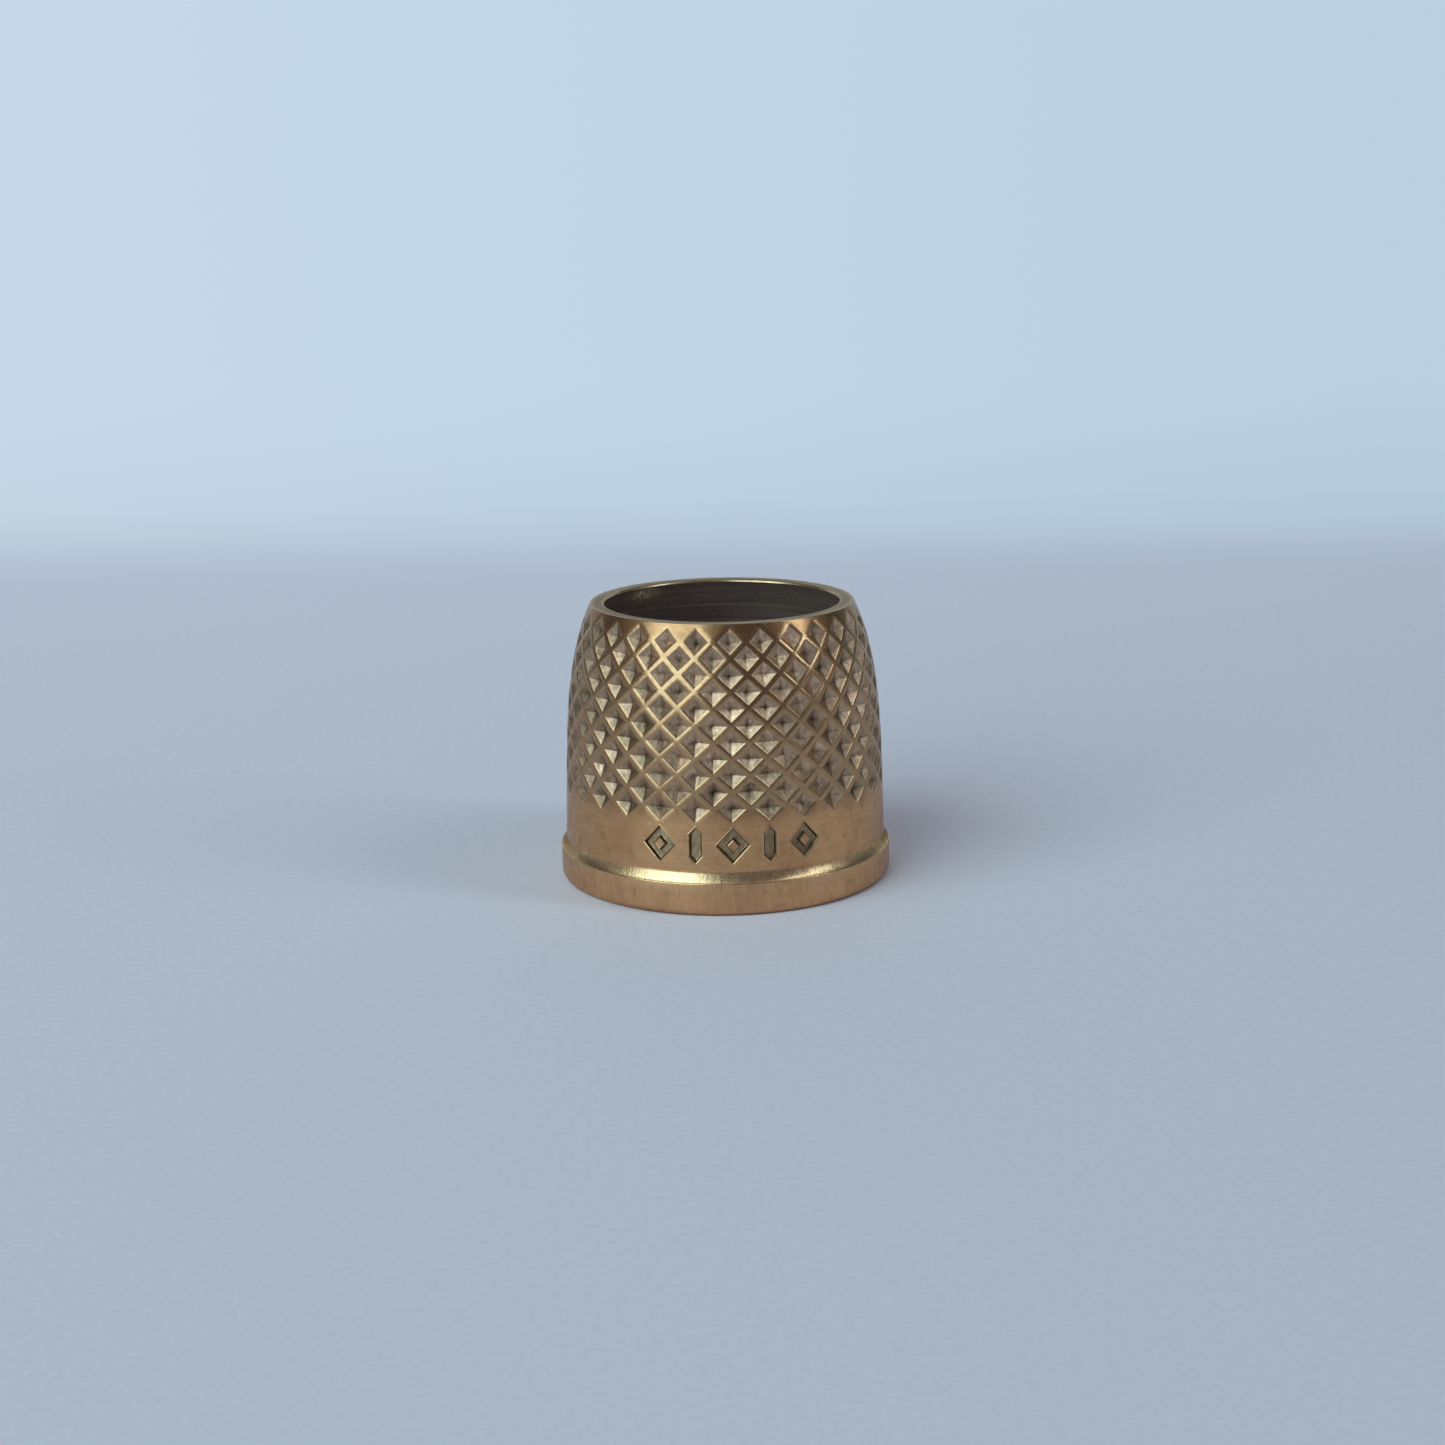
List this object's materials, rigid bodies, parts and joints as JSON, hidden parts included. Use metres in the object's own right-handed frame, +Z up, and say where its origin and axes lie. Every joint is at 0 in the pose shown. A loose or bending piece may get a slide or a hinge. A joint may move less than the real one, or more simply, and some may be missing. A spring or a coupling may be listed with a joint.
{
  "type": "open thimble",
  "caption": "Open-ended brass tailor's thimble: a tapered ring pressed with staggered pyramid dimples over a plain stamped band and a thicker rim.",
  "frame": {"origin": "centre of the base circle, on the surface that the thimble stands on", "axes": "+Z up the thimble's axis towards its narrow open end; -Y is the stamped side"},
  "size_m": [0.0206, 0.0206, 0.017],
  "materials": {
    "brass": "satin brass, worn bright on the ridges and shoulder and tarnished brown elsewhere"
  },
  "bodies": {
    "root": {"thimble_body": "brass"}
  },
  "joints": []
}
